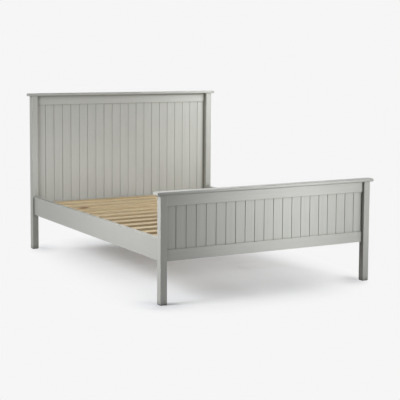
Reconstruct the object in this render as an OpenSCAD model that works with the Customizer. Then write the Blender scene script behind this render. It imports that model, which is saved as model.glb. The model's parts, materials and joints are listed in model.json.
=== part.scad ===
/* [Mattress] */
// Width of the mattress that the bed holds
mattress_w = 1350; // [800:10:1850]
// Length of the mattress
mattress_l = 1900; // [1700:10:2150]
// Space beside the mattress, on each side
mattress_side_gap = 11; // [4:1:25]
// Space beyond the mattress, at each end
mattress_end_gap = 5; // [2:1:25]

/* [Posts] */
// Width of every post, across the bed
post_w = 42; // [40:1:70]
// Depth of the foot posts, along the bed
foot_post_d = 42; // [40:1:70]
// Depth of the head posts, along the bed
head_post_d = 48; // [46:1:80]
// Height of the footboard, to the top of its cap
foot_h = 635; // [520:5:900]
// Height of the headboard, to the top of its cap
head_h = 1101; // [700:1:1500]
// Chamfer round the lower end of each post
post_chamfer = 1.5; // [1:0.5:4]
// Rounding of the long edges of posts and rails
edge_r = 2; // [0.5:0.5:3]

/* [Floor glides] */
// Thickness of the pad under each post
glide_t = 4; // [2:0.5:8]
// Setback of the pads from the post faces
glide_inset = 1; // [0.5:0.5:6]
// Rounding of the pads' corners
glide_r = 3; // [1:0.5:6]
// Diameter of the pads' pins
glide_pin_d = 4; // [3:0.5:6]
// Length of the pads' pins inside the posts
glide_pin_l = 20; // [10:1:30]

/* [Caps] */
// Thickness of the caps
cap_t = 19; // [16:1:28]
// Overhang of the caps beyond the posts, at each end
cap_end_over = 22; // [0:1:40]
// Overhang of the caps over the post faces
cap_face_over = 8; // [0:1:20]
// Radius of the rounded edges of the caps
cap_nose_r = 7; // [1:0.5:7.5]

/* [Board rails] */
// Height of the rails of the headboard and the footboard
board_rail_h = 64; // [56:1:100]
// Height of the lower rails above the floor
board_rail_z = 242; // [190:1:270]
// Thickness of the footboard rails
foot_rail_t = 22; // [20:1:24]
// Setback of the footboard rails from the outer post face
foot_rail_recess = 18; // [8:1:20]
// Setback of the headboard rails from the post face on the mattress side
head_rail_recess = 33; // [10:1:34]

/* [Panels] */
// Thickness of both panels
panel_t = 8; // [6:0.5:8]
// Setback of the footboard panel from its rails
foot_panel_step = 7; // [4:0.5:9]
// How far the panels reach into the rails and posts
panel_lap = 8; // [5:0.5:9]
// Number of strips between the grooves, between the posts
strip_count = 21; // [11:1:27]
// Depth of the V-grooves, half their width
groove_depth = 2.6; // [1:0.1:3.5]
// Width of the slot at the bottom of each groove
groove_slot_w = 1.6; // [0.6:0.1:2]
// Depth of the slot below its groove
groove_slot_depth = 1.6; // [0.5:0.1:2]
// Sideways shift of the footboard's grooves
foot_groove_shift = 2; // [-8:1:8]
// Sideways shift of the headboard's grooves
head_groove_shift = 7; // [-8:1:8]

/* [Side rails] */
// Height of the side rails
side_rail_h = 126; // [118:1:180]
// Thickness of the side rails
side_rail_t = 28; // [26:1:31]
// Height of the side rails' underside above that of the lower board rails
side_rail_lift = 2; // [0:1:12]
// Setback of the side rails from the outer post faces
side_rail_inset = 11; // [2:1:13]

/* [Slatted deck] */
// Number of slats
slat_count = 14; // [10:1:18]
// Width of a slat
slat_w = 65; // [50:1:85]
// Thickness of a slat
slat_t = 18; // [15:1:22]
// Depth of the slats' top below the top of the side rails
slat_drop = 40; // [30:1:45]
// Gap between the end of a slat and the side rail
slat_end_gap = 3; // [1:0.5:6]
// Gap between the first or last slat and the posts
slat_first_gap = 8; // [4:1:30]
// Width of the ledges that carry the slats
ledge_w = 22; // [18:1:30]
// Height of the ledges
ledge_h = 30; // [24:1:34]
// Gap between a ledge and the posts
ledge_end_gap = 5; // [1:1:20]
// Width of the centre rail
centre_rail_w = 35; // [25:1:60]
// Height of the centre rail's underside above that of the lower board rails
centre_rail_lift = 4; // [3:1:6]

/* [Centre rail saddles] */
// Thickness of the saddles' sheet steel
saddle_t = 2; // [1.5:0.5:3]
// Depth of a saddle under the centre rail
saddle_depth = 32; // [20:1:60]
// Height of a saddle
saddle_h = 52; // [46:1:56]
// Width of each screwed ear of a saddle
saddle_ear_w = 22; // [16:1:40]
// Gap between the centre rail and its saddle
saddle_play = 0.3; // [0.1:0.1:1]

/* [Bolts] */
// Diameter of the hanger bolts
bolt_d = 8; // [6:1:8]
// Depth of the hanger bolts in the posts
bolt_post_depth = 30; // [20:1:32]
// Distance of the bolts from the top and bottom of the side rails
bolt_edge = 19; // [17:0.5:22]
// Distance of the bolt pockets from the ends of the side rails
pocket_setback = 60; // [40:1:90]
// Diameter of the bolt pockets
pocket_d = 25; // [24:0.5:28]
// Wood left behind a bolt pocket
pocket_skin = 6; // [3:0.5:7]
// Thickness of the half-moon washers at their middle
washer_t = 5; // [4:0.5:6]
// Width of the half-moon washers
washer_w = 13; // [11:0.5:14]
// Width of the nuts over their flats
nut_w = 13; // [10:0.5:13]
// Thickness of the nuts
nut_t = 6.5; // [5:0.5:8]
// Length of bolt that stands out of the nut
bolt_end = 3; // [1.5:0.5:6]
// Chamfer at the end of each bolt
bolt_point = 1; // [0.5:0.25:1.5]

/* [Dowels] */
// Diameter of every dowel
dowel_d = 8; // [6:0.5:8]
// Length of every dowel
dowel_l = 30; // [26:1:32]
// Depth of the board rail dowels in the posts
dowel_post_depth = 12; // [10:0.5:12.5]
// Depth of the cap dowels in the caps
dowel_cap_depth = 10; // [8:0.5:13]
// Distance of a board rail's dowels from its edge and its groove
dowel_edge = 10; // [7:0.5:12]
// Number of dowels between a cap and its rail
cap_dowel_count = 3; // [1:1:7]

/* [Screws] */
// Diameter of the screws of the ledges and slats
screw_d = 4; // [3:0.5:5]
// Diameter of their heads
screw_head_d = 8; // [7:0.5:9]
// Length of the ledge screws
ledge_screw_l = 40; // [30:1:44]
// Length of the slat screws
slat_screw_l = 35; // [28:1:40]
// Length of the saddle screws
saddle_screw_l = 13; // [10:0.5:14]
// Length of the headboard panel screws
panel_screw_l = 13; // [10:0.5:14]
// Diameter of the headboard panel screws
panel_screw_d = 3; // [2.5:0.5:3.5]
// Number of panel screws along each headboard rail
panel_across_count = 7; // [3:1:11]
// Number of panel screws up each head post
panel_up_count = 4; // [2:1:7]

/* [Hidden] */
// Running clearances and drawing aids
fit_play = 0.1;
bolt_play = 0.5;
panel_play = 0.5;
cut = 1;
$fn = 32;

// Across the bed
rail_inner_x = mattress_w / 2 + mattress_side_gap;
rail_outer_x = rail_inner_x + side_rail_t;
rail_mid_x = (rail_inner_x + rail_outer_x) / 2;
post_outer_x = rail_outer_x + side_rail_inset;
post_inner_x = post_outer_x - post_w;
post_mid_x = post_outer_x - post_w / 2;
cap_x = post_outer_x + cap_end_over;

// Along the bed, from the foot at -Y to the head at +Y
frame_l = foot_post_d + mattress_l + 2 * mattress_end_gap + head_post_d;
foot_y = (cap_face_over - frame_l) / 2;
foot_inner_y = foot_y + foot_post_d;
head_y = foot_y + frame_l;
head_front_y = head_y - head_post_d;
foot_rail_y = foot_y + foot_rail_recess;
foot_rail_back_y = foot_rail_y + foot_rail_t;
foot_rail_mid_y = foot_rail_y + foot_rail_t / 2;
foot_panel_y = foot_rail_y + foot_panel_step;
head_rail_y = head_front_y + head_rail_recess;
head_rail_mid_y = (head_rail_y + head_y) / 2;
head_panel_y = head_y - panel_t;

// Heights
foot_post_top = foot_h - cap_t;
head_post_top = head_h - cap_t;
foot_top_rail_z = foot_post_top - board_rail_h;
head_top_rail_z = head_post_top - board_rail_h;
low_rail_top = board_rail_z + board_rail_h;
side_rail_z = board_rail_z + side_rail_lift;
side_rail_top = side_rail_z + side_rail_h;
slat_z = side_rail_top - slat_drop - slat_t;
ledge_z = slat_z - ledge_h;
centre_rail_z = board_rail_z + centre_rail_lift;
bolt_zs = [side_rail_z + bolt_edge, side_rail_top - bolt_edge];
side_dowel_z = side_rail_z + side_rail_h / 2;
low_dowel_zs = [board_rail_z + dowel_edge, low_rail_top - panel_lap - dowel_edge];
foot_top_dowel_zs = [foot_top_rail_z + panel_lap + dowel_edge, foot_post_top - dowel_edge];
head_top_dowel_zs = [head_top_rail_z + panel_lap + dowel_edge, head_post_top - dowel_edge];

// Slats and the screws between them
slat_first_y = foot_inner_y + slat_first_gap + slat_w / 2;
slat_last_y = head_front_y - slat_first_gap - slat_w / 2;
slat_pitch = (slat_last_y - slat_first_y) / (slat_count - 1);
slat_x = rail_inner_x - slat_end_gap;
ledge_inner_x = rail_inner_x - ledge_w;
ledge_mid_x = rail_inner_x - ledge_w / 2;
ledge_mid_z = ledge_z + ledge_h / 2;
ledge_screw_ys = [for (i = [0 : 2 : slat_count - 2]) slat_first_y + (i + 0.5) * slat_pitch];

// Cap dowels along the rails
cap_dowel_pitch = 2 * post_inner_x / (cap_dowel_count + 1);
cap_dowel_xs = [for (i = [1 : cap_dowel_count]) i * cap_dowel_pitch - post_inner_x];

// Bolts
pocket_depth = side_rail_t - pocket_skin;
bolt_l = bolt_post_depth + pocket_setback - pocket_d / 2 + washer_t + nut_t + bolt_end;

// Headboard panel screws, half way across the lap
lap_mid = panel_lap / 2;
panel_screw_zs = [
    for (i = [0.5 : panel_up_count])
        low_rail_top + i * (head_top_rail_z - low_rail_top) / panel_up_count
];
panel_screw_xs = [
    for (i = [0.5 : panel_across_count])
        (2 * i / panel_across_count - 1) * post_inner_x
];

// Saddles
saddle_inner_w = centre_rail_w + 2 * saddle_play;
saddle_z = centre_rail_z - saddle_t;
saddle_w = saddle_inner_w + 2 * saddle_t + 2 * saddle_ear_w;
saddle_screw_x = (saddle_w - saddle_ear_w) / 2;
saddle_screw_margin = 12;
saddle_screw_zs = [saddle_z + saddle_screw_margin, saddle_z + saddle_h - saddle_screw_margin];

// Screw heads
screw_head_h = 3;
panel_screw_head_d = 6;
screw_recess_w = 0.9;
screw_recess_depth = 1.2;

// Colours
paint = "#b3b4ae";
pine = "#d9c08c";
beech = "#d8b98a";
zinc = "#b9bcc0";
plastic = "#2b2b2b";

function two_digits(i) = i < 10 ? str("0", i) : str(i);
function slat_name(i) = str("slat_", two_digits(i));

// The two ends of a corner's round, or the bare corner where r is nought
function corner(middle, r, start) =
    r <= 0 ? [middle] : [for (a = [start, start + 90]) middle + r * [cos(a), sin(a)]];

function all_round(r) = [r, r, r, r];

// A rectangle from low to high with a radius for each corner: low left, low right, high right, high left
module outline(low, high, r) {
    middles = [
        [low[0] + r[0], low[1] + r[0]],
        [high[0] - r[1], low[1] + r[1]],
        [high[0] - r[2], high[1] - r[2]],
        [low[0] + r[3], high[1] - r[3]]
    ];
    polygon([for (i = [0 : 3]) each corner(middles[i], r[i], 180 + 90 * i)]);
    for (i = [0 : 3]) if (r[i] > 0) translate(middles[i]) circle(r[i]);
}

// Bars along X, Y and Z, of an outline drawn in YZ, XZ and XY
module bar_x(x0, x1) {
    translate([x0, 0, 0]) rotate([90, 0, 90]) linear_extrude(x1 - x0) children();
}

module bar_y(y0, y1) {
    translate([0, y1, 0]) rotate([90, 0, 0]) linear_extrude(y1 - y0) children();
}

module bar_z(z0, z1) {
    translate([0, 0, z0]) linear_extrude(z1 - z0) children();
}

// A block between two corners
module block(low, high) {
    translate(low) cube(high - low);
}

// Round rods from a point along +X, +Y and +Z
module rod_x(at, l, d) {
    translate(at) rotate([0, 90, 0]) cylinder(h = l, d = d);
}

module rod_y(at, l, d) {
    translate(at) rotate([-90, 0, 0]) cylinder(h = l, d = d);
}

module rod_z(at, l, d) {
    translate(at) cylinder(h = l, d = d);
}

// Draws the right-hand piece, or its mirror image on the left
module on_side(side) {
    mirror([side < 0 ? 1 : 0, 0, 0]) children();
}

module both_sides() {
    for (side = [-1, 1]) on_side(side) children();
}

// A countersunk screw whose head faces +Z at nought; with play it is the hole for that screw
module screw_body(l, d, head_d, play) {
    rotate_extrude() polygon([
        [0, play > 0 ? cut : 0],
        [head_d / 2 + play, play > 0 ? cut : 0],
        [head_d / 2 + play, 0],
        [d / 2 + play, -screw_head_h],
        [d / 2 + play, -l - play],
        [0, -l - play]
    ]);
}

module screw(l, d, head_d) {
    difference() {
        screw_body(l, d, head_d, 0);
        for (turn = [0, 90]) rotate(turn)
            block([-d / 2, -screw_recess_w / 2, -screw_recess_depth], [d / 2, screw_recess_w / 2, cut]);
    }
}

// The four edges cut off the lower end of a post
module post_end_cut(low, high, z) {
    c = post_chamfer;
    for (x = [[low[0], 1], [high[0], -1]])
        bar_y(low[1] - cut, high[1] + cut) polygon([
            [x[0] - x[1] * cut, z - cut],
            [x[0] + x[1] * (c + cut), z - cut],
            [x[0] - x[1] * cut, z + c + cut]
        ]);
    for (y = [[low[1], 1], [high[1], -1]])
        bar_x(low[0] - cut, high[0] + cut) polygon([
            [y[0] - y[1] * cut, z - cut],
            [y[0] + y[1] * (c + cut), z - cut],
            [y[0] - y[1] * cut, z + c + cut]
        ]);
}

// A plain post on the right, with the holes that every post has
module post(y0, y1, top) {
    low = [post_inner_x, y0];
    high = [post_outer_x, y1];
    mid_y = (y0 + y1) / 2;
    difference() {
        bar_z(glide_t, top) outline(low, high, all_round(edge_r));
        post_end_cut(low, high, glide_t);
        rod_z([post_mid_x, mid_y, 0], glide_t + glide_pin_l + fit_play, glide_pin_d + 2 * fit_play);
        rod_z([post_mid_x, mid_y, top - dowel_l + dowel_cap_depth - fit_play], dowel_l,
              dowel_d + 2 * fit_play);
    }
}

// Holes in a right-hand post for the dowels of a board rail
module post_dowel_holes(y, zs) {
    for (z = zs)
        rod_x([post_inner_x - cut, y, z], dowel_post_depth + cut + fit_play, dowel_d + 2 * fit_play);
}

// Holes in a right-hand post for a side rail's bolts and dowel, from the post face along dir
module post_bolt_holes(face_y, dir) {
    bolt_hole_l = bolt_post_depth + fit_play + cut;
    dowel_hole_l = dowel_l / 2 + fit_play + cut;
    bolt_y = dir > 0 ? face_y - cut : face_y - bolt_hole_l + cut;
    dowel_y = dir > 0 ? face_y - cut : face_y - dowel_hole_l + cut;
    for (z = bolt_zs) rod_y([rail_mid_x, bolt_y, z], bolt_hole_l, bolt_d + 2 * fit_play);
    rod_y([rail_mid_x, dowel_y, side_dowel_z], dowel_hole_l, dowel_d + 2 * fit_play);
}

module foot_post(side) {
    color(paint) on_side(side) difference() {
        post(foot_y, foot_inner_y, foot_post_top);
        block(
            [post_inner_x - cut, foot_panel_y - fit_play, low_rail_top - panel_lap],
            [post_inner_x + panel_lap, foot_panel_y + panel_t + fit_play, foot_top_rail_z + panel_lap]
        );
        post_dowel_holes(foot_rail_mid_y, concat(low_dowel_zs, foot_top_dowel_zs));
        post_bolt_holes(foot_inner_y, -1);
    }
}

module head_post(side) {
    color(paint) on_side(side) difference() {
        post(head_front_y, head_y, head_post_top);
        block(
            [post_inner_x - cut, head_panel_y, low_rail_top - panel_lap],
            [post_inner_x + panel_lap, head_y + cut, head_top_rail_z + panel_lap]
        );
        post_dowel_holes(head_rail_mid_y, concat(low_dowel_zs, head_top_dowel_zs));
        post_bolt_holes(head_front_y, 1);
        for (z = panel_screw_zs) head_panel_screw_at(post_inner_x + lap_mid, z, fit_play);
    }
}

// Holes at both ends of a board rail for its dowels
module rail_dowel_holes(y, zs) {
    depth = dowel_l - dowel_post_depth + fit_play;
    both_sides() for (z = zs)
        rod_x([post_inner_x - depth, y, z], depth + cut, dowel_d + 2 * fit_play);
}

// Holes in a top rail for the cap dowels
module cap_dowel_holes(y, top) {
    for (x = cap_dowel_xs)
        rod_z([x, y, top - dowel_l + dowel_cap_depth - fit_play], dowel_l, dowel_d + 2 * fit_play);
}

// A footboard rail with its groove for the panel along the edge at groove_z
module foot_rail(z, groove_z, r, dowel_zs) {
    difference() {
        bar_x(-post_inner_x, post_inner_x)
            outline([foot_rail_y, z], [foot_rail_back_y, z + board_rail_h], r);
        block(
            [-post_inner_x - cut, foot_panel_y - fit_play, groove_z],
            [post_inner_x + cut, foot_panel_y + panel_t + fit_play, groove_z + panel_lap + cut]
        );
        rail_dowel_holes(foot_rail_mid_y, dowel_zs);
    }
}

// A headboard rail with its rebate for the panel at the back, from rebate_z
module head_rail(z, rebate_z, r, dowel_zs) {
    difference() {
        bar_x(-post_inner_x, post_inner_x)
            outline([head_rail_y, z], [head_y, z + board_rail_h], r);
        block(
            [-post_inner_x - cut, head_panel_y, rebate_z],
            [post_inner_x + cut, head_y + cut, rebate_z + panel_lap + cut]
        );
        rail_dowel_holes(head_rail_mid_y, dowel_zs);
    }
}

module foot_top_rail() {
    color(paint) difference() {
        foot_rail(foot_top_rail_z, foot_top_rail_z - cut, [edge_r, edge_r, 0, 0], foot_top_dowel_zs);
        cap_dowel_holes(foot_rail_mid_y, foot_post_top);
    }
}

module foot_bottom_rail() {
    color(paint) difference() {
        foot_rail(board_rail_z, low_rail_top - panel_lap, all_round(edge_r), low_dowel_zs);
        saddle_screws_at(foot_rail_back_y, 1, fit_play);
    }
}

module head_top_rail() {
    color(paint) difference() {
        head_rail(head_top_rail_z, head_top_rail_z - cut, [edge_r, 0, 0, 0], head_top_dowel_zs);
        cap_dowel_holes(head_rail_mid_y, head_post_top);
        for (x = panel_screw_xs) head_panel_screw_at(x, head_top_rail_z + lap_mid, fit_play);
    }
}

module head_bottom_rail() {
    color(paint) difference() {
        head_rail(board_rail_z, low_rail_top - panel_lap, [edge_r, edge_r, 0, edge_r], low_dowel_zs);
        saddle_screws_at(head_rail_y, -1, fit_play);
        for (x = panel_screw_xs) head_panel_screw_at(x, low_rail_top - lap_mid, fit_play);
    }
}

// A V-groove with a slot at its bottom, cut into a face at y from below z0 to above z1
module groove(x, y, z0, z1) {
    slot = groove_slot_w / 2;
    bar_z(z0 - cut, z1 + cut) polygon([
        [x - groove_depth - cut, y - cut],
        [x + groove_depth + cut, y - cut],
        [x + slot, y + groove_depth - slot],
        [x + slot, y + groove_depth + groove_slot_depth],
        [x - slot, y + groove_depth + groove_slot_depth],
        [x - slot, y + groove_depth - slot]
    ]);
}

// A flat panel with grooves in its face on the foot side
module grooved_panel(y, z0, z1, shift) {
    half_w = post_inner_x + panel_lap - panel_play;
    strip_w = 2 * post_inner_x / strip_count;
    difference() {
        block([-half_w, y, z0], [half_w, y + panel_t, z1]);
        for (i = [1 : strip_count - 1]) groove(i * strip_w - post_inner_x + shift, y, z0, z1);
    }
}

module foot_panel() {
    color(paint) grooved_panel(
        foot_panel_y,
        low_rail_top - panel_lap + panel_play,
        foot_top_rail_z + panel_lap - panel_play,
        foot_groove_shift
    );
}

module head_panel() {
    color(paint) difference() {
        grooved_panel(
            head_panel_y,
            low_rail_top - panel_lap + panel_play,
            head_top_rail_z + panel_lap - panel_play,
            head_groove_shift
        );
        head_panel_screws_at(fit_play);
    }
}

// A cap from y0 to y1 on the posts and the top rail, with noses on the edges that overhang
module cap(y0, y1, z, back_r, dowel_y, post_mid_y) {
    r = cap_nose_r;
    hole_l = dowel_cap_depth + fit_play + cut;
    difference() {
        intersection() {
            bar_x(-cap_x, cap_x) outline([y0, z], [y1, z + cap_t], [r, back_r, back_r, r]);
            bar_y(y0, y1) outline([-cap_x, z], [cap_x, z + cap_t], all_round(r));
        }
        for (x = cap_dowel_xs) rod_z([x, dowel_y, z - cut], hole_l, dowel_d + 2 * fit_play);
        both_sides() rod_z([post_mid_x, post_mid_y, z - cut], hole_l, dowel_d + 2 * fit_play);
    }
}

module foot_cap() {
    color(paint) cap(
        foot_y - cap_face_over, foot_inner_y + cap_face_over, foot_post_top, cap_nose_r,
        foot_rail_mid_y, (foot_y + foot_inner_y) / 2
    );
}

module head_cap() {
    color(paint) cap(
        head_front_y - cap_face_over, head_y, head_post_top, edge_r,
        head_rail_mid_y, (head_front_y + head_y) / 2
    );
}

// The places of a corner's bolts: the post face, and the way from it into the rail
module at_rail_ends() {
    both_sides() {
        translate([rail_mid_x, foot_inner_y, 0]) children();
        translate([rail_mid_x, head_front_y, 0]) mirror([0, 1, 0]) children();
    }
}

module side_rail(side) {
    color(paint) on_side(side) difference() {
        bar_y(foot_inner_y, head_front_y)
            outline([rail_inner_x, side_rail_z], [rail_outer_x, side_rail_top], all_round(edge_r));
        for (end = [0, 1]) {
            y0 = end == 0 ? foot_inner_y : head_front_y;
            dir = end == 0 ? 1 : -1;
            pocket_y = y0 + dir * pocket_setback;
            for (z = bolt_zs) {
                rod_x([rail_inner_x - cut, pocket_y, z], pocket_depth + cut, pocket_d);
                rod_y([rail_mid_x, min(y0 - dir * cut, pocket_y), z], pocket_setback + cut,
                      bolt_d + 2 * bolt_play);
            }
            rod_y([rail_mid_x, y0 - dowel_l / 2 - fit_play, side_dowel_z], dowel_l + 2 * fit_play,
                  dowel_d + 2 * fit_play);
        }
        for (y = ledge_screw_ys) ledge_screw_at(y, fit_play);
    }
}

module slat_ledge(side) {
    color(pine) on_side(side) difference() {
        bar_y(foot_inner_y + ledge_end_gap, head_front_y - ledge_end_gap)
            outline([ledge_inner_x, ledge_z], [rail_inner_x, slat_z], [edge_r, 0, 0, edge_r]);
        for (y = ledge_screw_ys) ledge_screw_at(y, fit_play);
        for (i = [1 : slat_count]) slat_screw_at(slat_y(i), fit_play);
    }
}

function slat_y(i) = slat_first_y + (i - 1) * slat_pitch;

module slat(i) {
    color(pine) difference() {
        bar_x(-slat_x, slat_x)
            outline([slat_y(i) - slat_w / 2, slat_z], [slat_y(i) + slat_w / 2, slat_z + slat_t],
                    all_round(edge_r));
        both_sides() slat_screw_at(slat_y(i), fit_play);
    }
}

module centre_rail() {
    color(pine) bar_y(foot_rail_back_y + saddle_t + saddle_play, head_rail_y - saddle_t - saddle_play)
        outline([-centre_rail_w / 2, centre_rail_z], [centre_rail_w / 2, slat_z], all_round(edge_r));
}

// A folded steel saddle with a screwed ear on each side, against the rail face at y, opening along dir
module centre_saddle(y, dir) {
    cheek_x = saddle_inner_w / 2;
    color(zinc) difference() {
        translate([0, y, 0]) mirror([0, dir > 0 ? 0 : 1, 0]) union() {
            block([-saddle_w / 2, 0, saddle_z], [saddle_w / 2, saddle_t, saddle_z + saddle_h]);
            both_sides()
                block([cheek_x, 0, saddle_z], [cheek_x + saddle_t, saddle_depth, saddle_z + saddle_h]);
            block([-cheek_x - saddle_t, 0, saddle_z], [cheek_x + saddle_t, saddle_depth, centre_rail_z]);
        }
        saddle_screws_at(y, dir, fit_play);
    }
}

// A moulded pad with its pin, under the right-hand post between y0 and y1
module floor_glide(y0, y1) {
    low = [post_inner_x + glide_inset, y0 + glide_inset];
    high = [post_outer_x - glide_inset, y1 - glide_inset];
    bar_z(0, glide_t) outline(low, high, all_round(glide_r));
    rod_z([post_mid_x, (y0 + y1) / 2, 0], glide_t + glide_pin_l, glide_pin_d);
}

module floor_glides() {
    color(plastic) both_sides() {
        floor_glide(foot_y, foot_inner_y);
        floor_glide(head_front_y, head_y);
    }
}

module hanger_bolts() {
    color(zinc) at_rail_ends() for (z = bolt_zs) {
        rod_y([0, -bolt_post_depth, z], bolt_l - bolt_point, bolt_d);
        translate([0, bolt_l - bolt_post_depth - bolt_point, z]) rotate([-90, 0, 0])
            cylinder(h = bolt_point, d1 = bolt_d, d2 = bolt_d - 2 * bolt_point);
    }
}

// Each washer fills the pocket's curved wall on the post side and has a flat face for the nut
module half_moon_washers() {
    flat_y = pocket_setback - pocket_d / 2 + washer_t;
    r = pocket_d / 2 - fit_play;
    color(zinc) at_rail_ends() for (z = bolt_zs) difference() {
        rod_x([-washer_w / 2, pocket_setback, z], washer_w, 2 * r);
        block([-washer_w, flat_y, z - pocket_d], [washer_w, flat_y + pocket_d, z + pocket_d]);
        rod_y([0, 0, z], pocket_setback, bolt_d + 2 * fit_play);
    }
}

// A hexagon nut with the corners of both its faces turned off at 30 degrees
module nut_body() {
    corner_r = nut_w / 2 / cos(30) + fit_play;
    slope_h = (corner_r - nut_w / 2) * tan(30);
    intersection() {
        cylinder(h = nut_t, r = corner_r - fit_play, $fn = 6);
        rotate_extrude() polygon([
            [0, 0],
            [nut_w / 2, 0],
            [corner_r, slope_h],
            [corner_r, nut_t - slope_h],
            [nut_w / 2, nut_t],
            [0, nut_t]
        ]);
    }
}

module bolt_nuts() {
    nut_y = pocket_setback - pocket_d / 2 + washer_t;
    color(zinc) at_rail_ends() for (z = bolt_zs) difference() {
        translate([0, nut_y, z]) rotate([-90, 0, 0]) nut_body();
        rod_y([0, nut_y - cut, z], nut_t + 2 * cut, bolt_d + 2 * fit_play);
    }
}

module side_rail_dowels() {
    color(beech) at_rail_ends() rod_y([0, -dowel_l / 2, side_dowel_z], dowel_l, dowel_d);
}

// The dowels of a board's two rails, at both ends
module board_dowels(y, zs) {
    color(beech) both_sides() for (z = zs)
        rod_x([post_inner_x + dowel_post_depth - dowel_l, y, z], dowel_l, dowel_d);
}

module foot_rail_dowels() {
    board_dowels(foot_rail_mid_y, concat(low_dowel_zs, foot_top_dowel_zs));
}

module head_rail_dowels() {
    board_dowels(head_rail_mid_y, concat(low_dowel_zs, head_top_dowel_zs));
}

// The dowels under a cap, in the rail at rail_y and in the posts at post_y
module cap_dowels(rail_y, post_y, top) {
    z = top + dowel_cap_depth - dowel_l;
    color(beech) {
        for (x = cap_dowel_xs) rod_z([x, rail_y, z], dowel_l, dowel_d);
        both_sides() rod_z([post_mid_x, post_y, z], dowel_l, dowel_d);
    }
}

module foot_cap_dowels() {
    cap_dowels(foot_rail_mid_y, (foot_y + foot_inner_y) / 2, foot_post_top);
}

module head_cap_dowels() {
    cap_dowels(head_rail_mid_y, (head_front_y + head_y) / 2, head_post_top);
}

// A screw, or with play its hole; each is used by the piece and by what it goes through
module fixing(l, d, head_d, play) {
    if (play > 0) screw_body(l, d, head_d, play);
    else screw(l, d, head_d);
}

module ledge_screw_at(y, play) {
    translate([ledge_inner_x, y, ledge_mid_z]) rotate([0, -90, 0])
        fixing(ledge_screw_l, screw_d, screw_head_d, play);
}

module slat_screw_at(y, play) {
    translate([ledge_mid_x, y, slat_z + slat_t]) fixing(slat_screw_l, screw_d, screw_head_d, play);
}

module saddle_screws_at(y, dir, play) {
    for (x = [-saddle_screw_x, saddle_screw_x], z = saddle_screw_zs)
        translate([x, y + dir * saddle_t, z]) rotate([-90 * dir, 0, 0])
            fixing(saddle_screw_l, screw_d, screw_head_d, play);
}

module head_panel_screw_at(x, z, play) {
    translate([x, head_y, z]) rotate([-90, 0, 0])
        fixing(panel_screw_l, panel_screw_d, panel_screw_head_d, play);
}

module head_panel_screws_at(play) {
    for (x = panel_screw_xs, z = [low_rail_top - lap_mid, head_top_rail_z + lap_mid])
        head_panel_screw_at(x, z, play);
    both_sides() for (z = panel_screw_zs) head_panel_screw_at(post_inner_x + lap_mid, z, play);
}

module ledge_screws() {
    color(zinc) both_sides() for (y = ledge_screw_ys) ledge_screw_at(y, 0);
}

module slat_screws() {
    color(zinc) both_sides() for (i = [1 : slat_count]) slat_screw_at(slat_y(i), 0);
}

module saddle_screws() {
    color(zinc) {
        saddle_screws_at(foot_rail_back_y, 1, 0);
        saddle_screws_at(head_rail_y, -1, 0);
    }
}

module head_panel_screws() {
    color(zinc) head_panel_screws_at(0);
}

foot_post(-1);  // foot_post_left
foot_post(1);  // foot_post_right
foot_top_rail();
foot_bottom_rail();
foot_panel();
foot_cap();
head_post(-1);  // head_post_left
head_post(1);  // head_post_right
head_top_rail();
head_bottom_rail();
head_panel();
head_cap();
side_rail(-1);  // side_rail_left
side_rail(1);  // side_rail_right
slat_ledge(-1);  // slat_ledge_left
slat_ledge(1);  // slat_ledge_right
centre_rail();
centre_saddle(foot_rail_back_y, 1);  // centre_saddle_foot
centre_saddle(head_rail_y, -1);  // centre_saddle_head
floor_glides();
hanger_bolts();
half_moon_washers();
bolt_nuts();
side_rail_dowels();
foot_rail_dowels();
head_rail_dowels();
foot_cap_dowels();
head_cap_dowels();
ledge_screws();
slat_screws();
saddle_screws();
head_panel_screws();
for (i = [1 : slat_count]) slat(i);
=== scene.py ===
"""A painted double bed frame with its slatted deck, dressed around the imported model."""
import json
import math

import bmesh
import bpy
from mathutils import Matrix, Vector


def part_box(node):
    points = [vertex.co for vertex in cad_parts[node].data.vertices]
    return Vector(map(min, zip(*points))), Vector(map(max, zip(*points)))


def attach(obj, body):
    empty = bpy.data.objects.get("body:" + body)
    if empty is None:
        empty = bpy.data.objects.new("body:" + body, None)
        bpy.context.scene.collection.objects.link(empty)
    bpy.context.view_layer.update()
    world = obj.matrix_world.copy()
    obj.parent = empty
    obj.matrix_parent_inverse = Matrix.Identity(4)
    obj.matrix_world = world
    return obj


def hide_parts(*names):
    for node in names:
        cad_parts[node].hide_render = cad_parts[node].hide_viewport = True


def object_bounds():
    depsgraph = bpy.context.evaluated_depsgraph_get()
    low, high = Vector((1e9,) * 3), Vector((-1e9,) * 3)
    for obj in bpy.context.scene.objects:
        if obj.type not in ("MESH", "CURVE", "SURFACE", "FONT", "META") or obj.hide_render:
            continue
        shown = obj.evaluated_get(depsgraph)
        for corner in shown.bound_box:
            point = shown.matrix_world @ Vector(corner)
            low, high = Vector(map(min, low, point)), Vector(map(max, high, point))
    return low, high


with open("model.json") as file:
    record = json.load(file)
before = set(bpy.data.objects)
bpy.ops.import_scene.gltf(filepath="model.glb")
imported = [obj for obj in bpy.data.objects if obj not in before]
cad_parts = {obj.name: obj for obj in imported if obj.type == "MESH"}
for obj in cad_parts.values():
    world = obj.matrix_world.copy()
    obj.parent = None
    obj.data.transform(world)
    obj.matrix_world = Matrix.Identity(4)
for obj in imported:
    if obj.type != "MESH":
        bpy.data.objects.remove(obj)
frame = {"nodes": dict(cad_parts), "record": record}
NODES = frame["nodes"]
cad_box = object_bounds()

# Lengths are in metres, and a noise's scale is in steps to the metre.

# Camera, fitted to the photograph, with angles in degrees
SENSOR_MM = 36.0
FOCAL_PIXELS = 1101.45
IMAGE_PIXELS = 400
CAMERA_AT = (-3.5034, -6.3278, 1.4331)
CAMERA_YAW = -29.570
CAMERA_PITCH = -5.449
CAMERA_ROLL = 0.361
CAMERA_SHIFT_Y = -0.12

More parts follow.
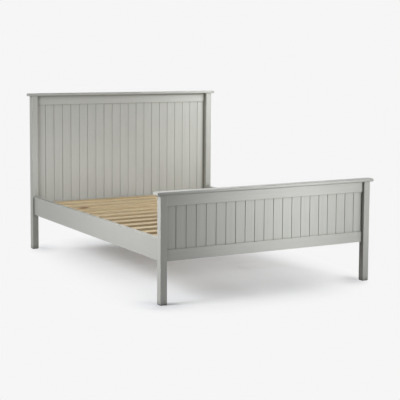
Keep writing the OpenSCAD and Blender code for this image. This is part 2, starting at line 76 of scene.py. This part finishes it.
# Light from all round, and the softboxes: where each stands, what it faces, its width, its spread
# in degrees and its watts
AMBIENT = 0.04
SOFTBOXES = {
    "key": ((1.4, -4.0, 1.2), (0.3, -1.0, 0.5), 0.9, 55, 4.1),
    "middle": ((1.4, -4.0, 1.2), (0.2, -1.0, 0.5), 0.9, 30, 2.9),
    "left": ((-3.8, 2.2, 1.35), (0, 0, 0.4), 2.0, 180, 39),
    "top": ((1.8, 2.8, 3.6), (0, 0, 0.4), 2.0, 180, 70),
    "headboard": ((1.1, -0.6, 1.5), (0.7, 1.0, 0.9), 0.8, 90, 3.6),
    "head_end": ((1.1, -0.6, 1.5), (0.8, 1.0, 0.9), 0.5, 45, 1.1),
    "side": ((-2.4, -0.7, 1.4), (-0.72, -0.95, 0.35), 0.8, 180, 34),
    "fill": ((3.8, 2.8, 1.3), (0.3, 0.3, 0.4), 2.0, 180, 95),
}

# Lamps that no gloss shows, so that the footboard's cap doesn't clip to white under them
LAMPS_WITHOUT_GLOSS = ("fill",)

# How bright the floor and the surround look where nothing shades them, of 1, and white as a colour
BACKGROUND = 0.92
WHITE = (1, 1, 1, 1)

# Panels: the strips from post to post, how far towards +X each panel's grooves are set over from
# an even division, and a groove's half width and depth
STRIP_COUNT = 21
FOOT_GROOVE_SHIFT = 0.002
HEAD_GROOVE_SHIFT = 0.007
GROOVE_HALF_W = 0.0026
GROOVE_D = 0.0042

# How deep the painted shade in each panel's grooves is, and the most that one strip is darker than
# another by its own tint. A strip's tint is full to the first depth behind the panel's face and ends
# at the second, and the painted shade of a groove ends the last depth behind the groove.
FOOT_GROOVE_SHADE = 1.0
HEAD_GROOVE_SHADE = 0.1
STRIP_TINT = 0.033
TINT_HOLDS_TO = 0.0005
TINT_ENDS_AT = 0.001
GROOVE_FADE = 0.001

# Shade in the paint's inside corners: how near the neighbour has to be, the share of the view that
# is still open where the shade is full, and its depth on most pieces, on the panels, and on the
# footboard's cap and rail
CORNER_REACH = 0.04
CORNER_OPEN = 0.5
CORNER_SHADE = 0.9
PANEL_CORNER_SHADE = 0.75
FOOT_TOP_CORNER_SHADE = 0.1

# Arrises, paler as wear and as a painted highlight: how wide that is, and the cosines between an
# arris's rounded and its plain normal at which it starts and is full
ARRIS_W = 0.003
ARRIS_STARTS = 0.995
ARRIS_FULL = 0.93

# Samples taken at each place to find an inside corner, and to find an arris
CORNER_SAMPLES = 8
ARRIS_SAMPLES = 4

# The levels that most of a noise lies between
NOISE_LEVELS = (0.3, 0.7)

# Sockets of the node that mixes two colours
MIX_FACTOR = 0
MIX_A = 6
MIX_B = 7
MIX_RESULT = 2


def linear(hex_colour):
    """The linear values that shaders use, of a colour written as on a paint chart, in sRGB."""
    levels = [int(hex_colour[i:i + 2], 16) / 255 for i in (0, 2, 4)]
    return (*[v / 12.92 if v <= 0.04045 else ((v + 0.055) / 1.055) ** 2.4 for v in levels], 1.0)


class Finish:
    """A procedural material. Its methods add steps to it and give the results, to feed to the next."""

    def __init__(self, name):
        self.data = bpy.data.materials.new(name)
        self.data.use_nodes = True
        self.tree = self.data.node_tree
        self.surface = self.tree.nodes["Principled BSDF"]
        self.place = self.add("ShaderNodeTexCoord").outputs["Object"]

    def add(self, kind, inputs=None, **settings):
        """Adds a node, with values or other nodes' outputs for its inputs."""
        node = self.tree.nodes.new(kind)
        for name, value in settings.items():
            setattr(node, name, value)
        for name, value in (inputs or {}).items():
            self.feed(node.inputs[name], value)
        return node

    def feed(self, socket, value):
        """Links an output to a socket, or sets the socket to a plain value."""
        if isinstance(value, bpy.types.NodeSocket):
            self.tree.links.new(value, socket)
        else:
            socket.default_value = value

    def set(self, **inputs):
        """Sets the surface's own inputs, with underscores for spaces."""
        for name, value in inputs.items():
            self.feed(self.surface.inputs[name.replace("_", " ")], value)

    def math(self, operation, a, b=0.0, c=0.0):
        return self.add("ShaderNodeMath", {0: a, 1: b, 2: c}, operation=operation).outputs[0]

    def vector(self, operation, a, b=(0.0, 0.0, 0.0)):
        return self.add("ShaderNodeVectorMath", {0: a, 1: b}, operation=operation).outputs[0]

    def vector_length(self, vector):
        return self.add("ShaderNodeVectorMath", {0: vector}, operation="LENGTH").outputs["Value"]

    def split(self, vector):
        return self.add("ShaderNodeSeparateXYZ", {0: vector}).outputs

    def join(self, x, y, z):
        return self.add("ShaderNodeCombineXYZ", {0: x, 1: y, 2: z}).outputs[0]

    def noise(self, vector, scale, detail=2.0, roughness=0.5):
        inputs = {"Vector": vector, "Scale": scale, "Detail": detail, "Roughness": roughness}
        return self.add("ShaderNodeTexNoise", inputs).outputs[0]

    def chance(self, number):
        """The node that draws the same random values each time for the same whole number."""
        return self.add("ShaderNodeTexWhiteNoise", {"W": number}, noise_dimensions="1D")

    def stretched(self, place, axis, scales):
        """A place, scaled by the first scale along an axis and by the second across it."""
        factors = [scales[1]] * 3
        factors["XYZ".index(axis)] = scales[0]
        return self.vector("MULTIPLY", place, tuple(factors))

    def streaks(self, place, axis, scales, detail=2.0, roughness=0.5):
        """A noise with its own scales along an axis and across it."""
        return self.noise(self.stretched(place, axis, scales), 1.0, detail, roughness)

    def weighted(self, values, shares):
        """The sum of the values that are given a share, each times its share."""
        parts = [self.math("MULTIPLY", values[name], share) for name, share in shares.items()]
        total = parts[0]
        for part in parts[1:]:
            total = self.math("ADD", total, part)
        return total

    def range(self, value, low, high, to_low=0.0, to_high=1.0):
        """Maps low to high onto to_low to to_high, smoothly and without going past them."""
        inputs = {"Value": value, "From Min": low, "From Max": high}
        inputs.update({"To Min": to_low, "To Max": to_high})
        return self.add("ShaderNodeMapRange", inputs, interpolation_type="SMOOTHSTEP").outputs[0]

    def mix(self, factor, a, b):
        node = self.add("ShaderNodeMix", data_type="RGBA")
        self.feed(node.inputs[MIX_FACTOR], factor)
        self.feed(node.inputs[MIX_A], a)
        self.feed(node.inputs[MIX_B], b)
        return node.outputs[MIX_RESULT]

    def bump(self, height, depth):
        """Raises the surface by depth metres where height is 1."""
        inputs = {"Height": height, "Distance": depth, "Strength": 1.0}
        return self.add("ShaderNodeBump", inputs).outputs[0]

    def corners(self, reach, most, least_open=CORNER_OPEN):
        """Goes from 0 in the open to most where only least_open of the view is free within reach."""
        settings = {"Distance": reach}
        occlusion = self.add("ShaderNodeAmbientOcclusion", settings, samples=CORNER_SAMPLES)
        return self.range(occlusion.outputs["AO"], 1.0, least_open, 0.0, most)

    def edges(self, width):
        """Near 1 on arrises and 0 on flat faces."""
        rounded = self.add("ShaderNodeBevel", {"Radius": width}, samples=ARRIS_SAMPLES).outputs[0]
        plain = self.add("ShaderNodeNewGeometry").outputs["Normal"]
        facing = self.add("ShaderNodeVectorMath", {0: rounded, 1: plain}, operation="DOT_PRODUCT")
        return self.range(facing.outputs["Value"], ARRIS_STARTS, ARRIS_FULL)


# Paint: its colour, that of deeper places, of arrises as wear and painted highlight, and of painted
# shade and strip tint
PAINT = linear("bbbcb7")
PAINT_DEEP = linear("a3a49e")
PAINT_WORN_AND_HIGHLIT = linear("c9c9c4")
PAINT_TINT_AND_SHADE = linear("8b8c85")

# Paint: the scales of the grain and of the brush marks, along the wood and across it, and of the
# clouds and the orange peel
GRAIN_SCALES = (9, 420)
BRUSH_SCALES = (2.2, 160)
CLOUD_SCALE = 3.1
PEEL_SCALE = 900

# Paint: each noise's share in the tone and in the relief
TONE_SHARES = {"grain": 0.35, "brush": 0.3, "cloud": 0.35}
RELIEF_SHARES = {"grain": 0.6, "brush": 0.3, "peel": 0.1}

# Paint: the levels of the tone between which the deeper colour fades out, and the most of it; the
# levels of the clouds between which the arrises' wear and painted highlight grow, and their least and
# most; roughness, specular level and height of the relief
DEEP_LEVELS = (0.36, 0.64)
DEEP_SHARE = 0.34
WEAR_AND_HIGHLIGHT_LEVELS = (0.3, 0.62)
WEAR_AND_HIGHLIGHT_SHARES = (0.35, 0.9)
PAINT_ROUGHNESS = (0.38, 0.5)
PAINT_SPECULAR = 0.45
PAINT_RELIEF = 0.00012


def painted_wood(name, axis, corner_shade=CORNER_SHADE, strips=None):
    """Eggshell paint brushed along a piece of wood, with its grain just showing through."""
    f = Finish(name)
    noises = {
        "grain": f.streaks(f.place, axis, GRAIN_SCALES, detail=3, roughness=0.6),
        "brush": f.streaks(f.place, axis, BRUSH_SCALES),
        "cloud": f.noise(f.place, CLOUD_SCALE, detail=3, roughness=0.55),
        "peel": f.noise(f.place, PEEL_SCALE, detail=1),
    }
    tone = f.weighted(noises, TONE_SHARES)
    colour = f.mix(f.range(tone, *DEEP_LEVELS, DEEP_SHARE, 0.0), PAINT, PAINT_DEEP)
    # Paler arrises: wear, and a painted highlight where light catches the edges
    arrises = f.edges(ARRIS_W)
    wear_and_highlight = f.math("MULTIPLY", arrises, f.range(noises["cloud"], *WEAR_AND_HIGHLIGHT_LEVELS, *WEAR_AND_HIGHLIGHT_SHARES))
    colour = f.mix(wear_and_highlight, colour, PAINT_WORN_AND_HIGHLIT)
    # Painted shade: the paint darkens in inside corners, where neighbours block the view
    shade = f.corners(CORNER_REACH, corner_shade)
    if strips:
        tint_and_groove_shade, groove = strips(f)
        outside_groove = f.math("SUBTRACT", 1.0, groove)
        shade = f.math("MAXIMUM", tint_and_groove_shade, f.math("MULTIPLY", shade, outside_groove))
    colour = f.mix(shade, colour, PAINT_TINT_AND_SHADE)
    f.set(Base_Color=colour, Roughness=f.range(tone, *NOISE_LEVELS, *PAINT_ROUGHNESS))
    f.set(Specular_IOR_Level=PAINT_SPECULAR)
    f.set(Normal=f.bump(f.weighted(noises, RELIEF_SHARES), PAINT_RELIEF))
    return f.data


def strips_of(panel, shift, groove_shade):
    """Gives the function that tells a finish how dark a panel's strips are by their own tint, and its
    grooves by painted shade, and where.
    """
    inner_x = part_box("foot_post_right")[0].x
    face_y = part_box(panel)[0].y
    pitch = 2 * inner_x / STRIP_COUNT

    def strips(f):
        x, y = f.split(f.place)[:2]
        strip = f.math("DIVIDE", f.math("ADD", x, inner_x - shift), pitch)
        tint = f.chance(f.math("FLOOR", strip)).outputs["Value"]
        on_face = f.range(y, face_y + TINT_ENDS_AT, face_y + TINT_HOLDS_TO, 0.0, STRIP_TINT)
        tint = f.math("MULTIPLY", tint, on_face)
        # Painted shade in the grooves, on the panel's face only
        to_groove = f.math("MULTIPLY", f.math("PINGPONG", strip, 0.5), pitch)
        groove = f.range(to_groove, GROOVE_HALF_W, 0.0)
        in_front = f.range(y, face_y + GROOVE_D + GROOVE_FADE, face_y + GROOVE_D)
        groove = f.math("MULTIPLY", groove, in_front)
        return f.math("MAXIMUM", tint, f.math("MULTIPLY", groove, groove_shade)), groove

    return strips


# Pine: its early wood, its late wood and its knots
PINE_EARLY = linear("e3cfa9")
PINE_LATE = linear("cfb184")
PINE_KNOT = linear("8c6443")

# Pine: the scales of the rings' sway, of the knots and of the fibres, along the wood and across
# it, and the furthest that a board's pattern is moved along the wood, so that no two boards are
# alike
SWAY_SCALES = (1.6, 5.0)
KNOT_SCALES = (2.6, 9.0)
FIBRE_SCALES = (14.0, 900.0)
BOARD_SHIFT = 7.0

# Rings: their width, the height that the log's heart is at and how far below that it may be, how
# far the rings sway and how far a knot pushes them, and the part of a ring over which its late
# wood comes in
RING_W = 0.0042
HEART_Z = 0.3
HEART_DROP = 0.06
RING_SWAY = 0.05
KNOT_PUSH = 0.012
LATE_LEVELS = (0.35, 0.95)

# Knots: how far from their middle, in the noise's own steps, the push and the dark colour start
# and are full, and the most of that colour
PUSH_LEVELS = (0.34, 0.03)
DARK_LEVELS = (0.16, 0.05)
DARK_SHARE = 0.85

# Pine: how much late wood and fibres take the colour to that of late wood, the least and most that
# a board's own tone adds to it, roughness, height of the relief, and how much of that the late
# wood stands proud
LATE_SHARE = 0.5
FIBRE_SHARE = 0.3
BOARD_TONES = (-0.12, 0.16)
PINE_ROUGHNESS = (0.55, 0.7)
PINE_RELIEF = 0.00012
LATE_RELIEF = 0.4


def pine(name, axis, first, pitch):
    """Planed pine with growth rings, fibres and a few knots, another board in each pitch across it."""
    f = Finish(name)
    x, y, z = f.split(f.place)[:3]
    length, across = (x, y) if axis == "X" else (y, x)
    board = f.math("FLOOR", f.math("DIVIDE", f.math("SUBTRACT", across, first), pitch))
    chance_x, chance_y, chance_z = f.split(f.chance(board).outputs["Color"])[:3]
    place = f.join(f.math("MULTIPLY_ADD", chance_x, BOARD_SHIFT, length), across, z)
    sway = f.streaks(place, "X", SWAY_SCALES)
    knot_place = f.stretched(place, "X", KNOT_SCALES)
    knots = f.add("ShaderNodeTexVoronoi", {"Vector": knot_place, "Scale": 1.0}).outputs["Distance"]
    near_knot = f.range(knots, *PUSH_LEVELS)
    heart_y = f.math("MULTIPLY_ADD", f.math("ADD", board, chance_y), pitch, first)
    heart_z = f.math("MULTIPLY_ADD", chance_z, -HEART_DROP, HEART_Z)
    beside = f.math("SUBTRACT", across, heart_y)
    above = f.math("SUBTRACT", z, heart_z)
    radius = f.vector_length(f.join(beside, above, 0.0))
    radius = f.math("MULTIPLY_ADD", sway, RING_SWAY, radius)
    radius = f.math("MULTIPLY_ADD", near_knot, KNOT_PUSH, radius)
    ring = f.math("FRACT", f.math("DIVIDE", radius, RING_W))
    late = f.range(ring, *LATE_LEVELS)
    fibre = f.streaks(place, "X", FIBRE_SCALES, roughness=0.6)
    share = f.math("MULTIPLY_ADD", late, LATE_SHARE, f.math("MULTIPLY", fibre, FIBRE_SHARE))
    share = f.math("ADD", share, f.range(chance_x, 0.0, 1.0, *BOARD_TONES))
    colour = f.mix(share, PINE_EARLY, PINE_LATE)
    colour = f.mix(f.range(knots, *DARK_LEVELS, 0.0, DARK_SHARE), colour, PINE_KNOT)
    f.set(Base_Color=colour, Roughness=f.range(fibre, *NOISE_LEVELS, *PINE_ROUGHNESS))
    f.set(Normal=f.bump(f.math("MULTIPLY_ADD", late, LATE_RELIEF, fibre), PINE_RELIEF))
    return f.data


# Beech: its colours, the flecks' scale, the levels between which they come in and the most of
# their colour, roughness, and height of the relief
BEECH = linear("d9b98c")
BEECH_FLECK = linear("b98f60")
FLECK_SCALE = 700
FLECK_LEVELS = (0.5, 0.75)
FLECK_SHARE = 0.7
BEECH_ROUGHNESS = 0.6
BEECH_RELIEF = 0.0001


def beech():
    """Turned beech with its short flecks."""
    f = Finish("beech")
    fleck = f.noise(f.place, FLECK_SCALE)
    colour = f.mix(f.range(fleck, *FLECK_LEVELS, 0.0, FLECK_SHARE), BEECH, BEECH_FLECK)
    f.set(Base_Color=colour, Roughness=BEECH_ROUGHNESS)
    f.set(Normal=f.bump(fleck, BEECH_RELIEF))
    return f.data


# Zinc: its colours, the scales of its crystals and its clouds, the levels between which the clouds
# dull it and the least and most of that, roughness, and height of the relief
ZINC = linear("c3c6c9")
ZINC_DULL = linear("8f9396")
CRYSTAL_SCALE = 260
DULL_SCALE = 60
DULL_LEVELS = (0.35, 0.7)
DULL_SHARES = (0.15, 0.6)
ZINC_ROUGHNESS = (0.28, 0.46)
ZINC_RELIEF = 0.00005


def zinc():
    """Bright zinc plate with its faint cloudy crystals."""
    f = Finish("zinc")
    crystals = f.add("ShaderNodeTexVoronoi", {"Vector": f.place, "Scale": CRYSTAL_SCALE})
    shade = f.split(crystals.outputs["Color"])[0]
    dull = f.noise(f.place, DULL_SCALE, detail=3)
    shade = f.math("MULTIPLY", shade, f.range(dull, *DULL_LEVELS, *DULL_SHARES))
    colour = f.mix(shade, ZINC, ZINC_DULL)
    f.set(Base_Color=colour, Metallic=1.0, Roughness=f.range(dull, *NOISE_LEVELS, *ZINC_ROUGHNESS))
    f.set(Normal=f.bump(dull, ZINC_RELIEF))
    return f.data


# Plastic: its colours, the scale of its grain, the scales of its scuffs along Y and across it, the
# levels between which they come in and the most of their colour, roughness, and height of the
# relief
PLASTIC = linear("2a2a2b")
PLASTIC_SCUFF = linear("4a4a4a")
MOULD_SCALE = 1800
SCUFF_SCALES = (400.0, 60.0)
SCUFF_LEVELS = (0.55, 0.75)
SCUFF_SHARE = 0.6
PLASTIC_ROUGHNESS = (0.5, 0.62)
PLASTIC_RELIEF = 0.00008


def moulded_plastic():
    """Fine matt grain with scuffs from the floor."""
    f = Finish("moulded_plastic")
    grain = f.noise(f.place, MOULD_SCALE, detail=1)
    scuff = f.streaks(f.place, "Y", SCUFF_SCALES)
    colour = f.mix(f.range(scuff, *SCUFF_LEVELS, 0.0, SCUFF_SHARE), PLASTIC, PLASTIC_SCUFF)
    f.set(Base_Color=colour, Roughness=f.range(grain, *NOISE_LEVELS, *PLASTIC_ROUGHNESS))
    f.set(Normal=f.bump(grain, PLASTIC_RELIEF))
    return f.data


# Hanger bolts: their radius and length, the chamfer at their nut's end, the radius and length of
# their point, and how many sides their rings have and how many rings there are to a turn. One
# thread is for the wood of the post and runs to the point, the other is for the nut. A flank of 2
# makes a thread's section a plain V, and a larger one leaves flats at its root.
BOLT_R = 0.004
BOLT_L = 0.092
BOLT_CHAMFER = 0.001
BOLT_TIP_R = 0.0006
BOLT_TIP_L = 0.008
BOLT_SIDES = 16
RINGS_PER_TURN = 4
WOOD_THREAD = {"length": 0.028, "pitch": 0.0035, "depth": 0.0012, "flank": 3}
NUT_THREAD = {"length": 0.020, "pitch": 0.00125, "depth": 0.0007, "flank": 2}


def thread_radius(thread, along, turn):
    """A thread's radius: the bolt's own at the crest, and less than it by the depth at the root."""
    phase = (along / thread["pitch"] - turn) % 1
    return BOLT_R - thread["depth"] * min(1, thread["flank"] * abs(phase - 0.5))


def bolt_radius(along, turn):
    """The bolt's radius at a place along it from its point, and at a share of a turn round it."""
    if along < WOOD_THREAD["length"]:
        taper = BOLT_TIP_R + (BOLT_R - BOLT_TIP_R) * along / BOLT_TIP_L
        return min(thread_radius(WOOD_THREAD, along, turn), taper)
    if along > BOLT_L - NUT_THREAD["length"]:
        chamfer = BOLT_R - BOLT_CHAMFER + BOLT_L - along
        return min(thread_radius(NUT_THREAD, along, turn), chamfer)
    return BOLT_R


def add_bolt(mesh, start, way):
    """One hanger bolt with its point at start. It runs along +Y, or along -Y where way is -1."""
    places = [0.0, WOOD_THREAD["length"], BOLT_L - NUT_THREAD["length"], BOLT_L]
    for thread, low in ((WOOD_THREAD, 0.0), (NUT_THREAD, BOLT_L - NUT_THREAD["length"])):
        step = thread["pitch"] / RINGS_PER_TURN
        places += [low + step * i for i in range(1, round(thread["length"] / step))]
    rings = []
    for along in sorted(places):
        ring = []
        for side in range(BOLT_SIDES):
            turn = side / BOLT_SIDES
            radius = bolt_radius(along, turn)
            angle = 2 * math.pi * turn
            offset = (radius * math.cos(angle), way * along, way * radius * math.sin(angle))
            ring.append(mesh.verts.new(Vector(start) + Vector(offset)))
        rings.append(ring)
    for low, high in zip(rings, rings[1:]):
        for i in range(BOLT_SIDES):
            j = (i + 1) % BOLT_SIDES
            mesh.faces.new((low[i], high[i], high[j], low[j]))
    mesh.faces.new(rings[0])
    mesh.faces.new(reversed(rings[-1]))


def make_bolts(material):
    """The hanger bolts at both ends of the side rails, with their threads."""
    low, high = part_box("hanger_bolts")
    rail_low, rail_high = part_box("side_rail_right")
    mid_x = (rail_low.x + rail_high.x) / 2
    mesh = bmesh.new()
    for x in (-mid_x, mid_x):
        for z in (low.z + BOLT_R, high.z - BOLT_R):
            add_bolt(mesh, (x, low.y, z), 1)
            add_bolt(mesh, (x, high.y, z), -1)
    bmesh.ops.recalc_face_normals(mesh, faces=mesh.faces)
    data = bpy.data.meshes.new("threaded_bolts")
    mesh.to_mesh(data)
    mesh.free()
    data.materials.append(material)
    bolts = bpy.data.objects.new("threaded_bolts", data)
    bpy.context.scene.collection.objects.link(bolts)
    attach(bolts, "root")
    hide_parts("hanger_bolts")


def dress(node, material):
    """Gives a CAD node its material in every slot."""
    slots = NODES[node].material_slots
    for slot in slots:
        slot.material = material
    if not slots:
        NODES[node].data.materials.append(material)


def grain_axis(node):
    """The axis that a painted piece's wood runs along."""
    if "post" in node:
        return "Z"
    return "Y" if node.startswith("side_rail") else "X"


# Pine boards: how far before each slat its board starts, and how wide the other pieces' boards
# are, so that the centre rail and each of the two ledges has its own
SLAT_MARGIN = 0.01
RAIL_BOARD_W = 0.5


def dress_all():
    """Paint and pine follow each piece's own grain; the fixings have their own finishes."""
    slats = [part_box(name)[0].y for name in ("slat_01", "slat_02")]
    paint = {axis: painted_wood(f"paint_along_{axis.lower()}", axis) for axis in "XYZ"}
    slat_pine = pine("pine_slats", "X", slats[0] - SLAT_MARGIN, slats[1] - slats[0])
    rail_pine = pine("pine_rails", "Y", -RAIL_BOARD_W / 2, RAIL_BOARD_W)
    finishes = {"beech": beech(), "zinc": zinc(), "glide": moulded_plastic()}
    for part in frame["record"]["subparts"]:
        node, slot = part["node"], part["material_slot"]
        if slot == "paint":
            dress(node, paint[grain_axis(node)])
        elif slot == "pine":
            dress(node, slat_pine if node.startswith(("slat_0", "slat_1")) else rail_pine)
        else:
            dress(node, finishes[slot])
    make_bolts(finishes["zinc"])
    grooves = {
        "foot_panel": (FOOT_GROOVE_SHIFT, FOOT_GROOVE_SHADE),
        "head_panel": (HEAD_GROOVE_SHIFT, HEAD_GROOVE_SHADE),
    }
    for panel, (shift, shade) in grooves.items():
        strips = strips_of(panel, shift, shade)
        dress(panel, painted_wood(f"paint_{panel}", "Z", PANEL_CORNER_SHADE, strips))
    # The footboard's cap and top rail get only a little painted corner shade
    foot_top_paint = painted_wood("paint_foot_top", "X", FOOT_TOP_CORNER_SHADE)
    for node in ("foot_cap", "foot_top_rail"):
        dress(node, foot_top_paint)


def make_camera():
    """The photograph's viewpoint, direction and framing."""
    yaw, pitch, roll = (math.radians(a) for a in (CAMERA_YAW, CAMERA_PITCH, CAMERA_ROLL))
    level = Vector((-math.sin(yaw), math.cos(yaw), 0))
    side = Vector((math.cos(yaw), math.sin(yaw), 0))
    up = Vector((0, 0, 1))
    ahead = level * math.cos(pitch) + up * math.sin(pitch)
    over = up * math.cos(pitch) - level * math.sin(pitch)
    right = side * math.cos(roll) + over * math.sin(roll)
    top = over * math.cos(roll) - side * math.sin(roll)
    data = bpy.data.cameras.new("camera")
    data.sensor_width = SENSOR_MM
    data.lens = FOCAL_PIXELS / IMAGE_PIXELS * SENSOR_MM
    data.shift_y = CAMERA_SHIFT_Y
    camera = bpy.data.objects.new("camera", data)
    bpy.context.scene.collection.objects.link(camera)
    camera.matrix_world = Matrix.LocRotScale(
        Vector(CAMERA_AT), Matrix((right, top, -ahead)).transposed(), None
    )
    bpy.context.scene.camera = camera


# Floor: half its width, its roughness, its colour where it shows the bed's shade, the black under
# the plain white glow that it has away from there, and the grey that it bounces light with
FLOOR_HALF = 40.0
FLOOR_ROUGHNESS = 0.9
FLOOR_COLOUR = linear("f0f3f8")
FLOOR_PLAIN = (0.0, 0.0, 0.0, 1.0)
FLOOR_BOUNCE = (0.35, 0.35, 0.35, 1.0)

# How much less the floor glows where it shows the bed's shade, because the lamps light it there
FLOOR_LIT = 0.82

# Where the floor shows shade: how far inside the bed's sides and ends that starts to fade, how far
# it takes to fade away, and how far the place leans towards +X for each metre towards the head
FLOOR_INSET_X = 0.49
FLOOR_INSET_Y = 0.28
FLOOR_FADE = 0.65
FLOOR_LEAN = 0.11

# Shade on the floor beside the posts: how near they have to be, the share of the view that is
# still open where it is full, and how far outside the place where the fade starts it begins to go
# and is gone, so that it stays on the posts' inner side
FLOOR_CONTACT = 0.2
FLOOR_CONTACT_OPEN = 0.88
FLOOR_CONTACT_FROM = 0.5
FLOOR_CONTACT_TO = 0.66


def make_floor():
    """A pale floor: it shows the bed's shade close by, and looks plain white away from it."""
    mesh = bpy.data.meshes.new("floor")
    ways = ((-1, -1), (1, -1), (1, 1), (-1, 1))
    mesh.from_pydata([(x * FLOOR_HALF, y * FLOOR_HALF, 0) for x, y in ways], [], [(0, 1, 2, 3)])
    floor = bpy.data.objects.new("floor", mesh)
    bpy.context.scene.collection.objects.link(floor)
    f = Finish("floor")
    half_x, half_y = cad_box[1][0] - FLOOR_INSET_X, cad_box[1][1] - FLOOR_INSET_Y
    x, y = f.split(f.place)[:2]
    leant_x = f.math("MULTIPLY_ADD", y, -FLOOR_LEAN, x)
    beyond_x = f.math("MAXIMUM", f.math("SUBTRACT", f.math("ABSOLUTE", leant_x), half_x), 0.0)
    beyond_y = f.math("MAXIMUM", f.math("SUBTRACT", f.math("ABSOLUTE", y), half_y), 0.0)
    away = f.vector_length(f.join(beyond_x, beyond_y, 0.0))
    near = f.range(away, FLOOR_FADE, 0.0)
    inner = f.range(away, FLOOR_CONTACT_TO, FLOOR_CONTACT_FROM)
    contact = f.math("MULTIPLY", f.corners(FLOOR_CONTACT, 1.0, FLOOR_CONTACT_OPEN), inner)
    near = f.math("MAXIMUM", near, contact)
    path = f.add("ShaderNodeLightPath").outputs
    seen = f.math("MAXIMUM", path["Is Camera Ray"], path["Is Glossy Ray"])
    seen = f.math("MAXIMUM", seen, path["Is Transmission Ray"])
    colour = f.mix(seen, FLOOR_BOUNCE, f.mix(near, FLOOR_PLAIN, FLOOR_COLOUR))
    glow = f.math("SUBTRACT", BACKGROUND, f.math("MULTIPLY", near, FLOOR_LIT))
    f.set(Base_Color=colour, Roughness=FLOOR_ROUGHNESS, Specular_IOR_Level=0.0)
    f.set(Emission_Color=WHITE, Emission_Strength=f.math("MULTIPLY", glow, seen))
    mesh.materials.append(f.data)


def make_world():
    """An even, dim surround, white where the camera or a gloss sees it."""
    world = bpy.data.worlds.new("studio")
    bpy.context.scene.world = world
    world.use_nodes = True
    tree = world.node_tree
    tree.nodes.clear()
    path = tree.nodes.new("ShaderNodeLightPath").outputs
    seen = path["Is Camera Ray"]
    for ray in ("Is Glossy Ray", "Is Transmission Ray"):
        either = tree.nodes.new("ShaderNodeMath")
        either.operation = "MAXIMUM"
        tree.links.new(seen, either.inputs[0])
        tree.links.new(path[ray], either.inputs[1])
        seen = either.outputs[0]
    ambient = tree.nodes.new("ShaderNodeBackground")
    ambient.inputs["Color"].default_value = WHITE
    ambient.inputs["Strength"].default_value = AMBIENT
    white = tree.nodes.new("ShaderNodeBackground")
    white.inputs["Color"].default_value = (BACKGROUND, BACKGROUND, BACKGROUND, 1)
    mix = tree.nodes.new("ShaderNodeMixShader")
    output = tree.nodes.new("ShaderNodeOutputWorld")
    tree.links.new(seen, mix.inputs[0])
    tree.links.new(ambient.outputs[0], mix.inputs[1])
    tree.links.new(white.outputs[0], mix.inputs[2])
    tree.links.new(mix.outputs[0], output.inputs[0])


def make_lights():
    """Softboxes that the camera doesn't see."""
    for name, (place, target, size, spread, power) in SOFTBOXES.items():
        data = bpy.data.lights.new(name, "AREA")
        data.size = size
        data.spread = math.radians(spread)
        data.energy = power
        lamp = bpy.data.objects.new(name, data)
        lamp.location = place
        lamp.rotation_euler = (Vector(target) - Vector(place)).to_track_quat("-Z", "Y").to_euler()
        lamp.visible_camera = False
        lamp.visible_glossy = name not in LAMPS_WITHOUT_GLOSS
        bpy.context.scene.collection.objects.link(lamp)


make_camera()
make_floor()
make_world()
make_lights()
dress_all()

bpy.context.scene.view_settings.view_transform = "Standard"
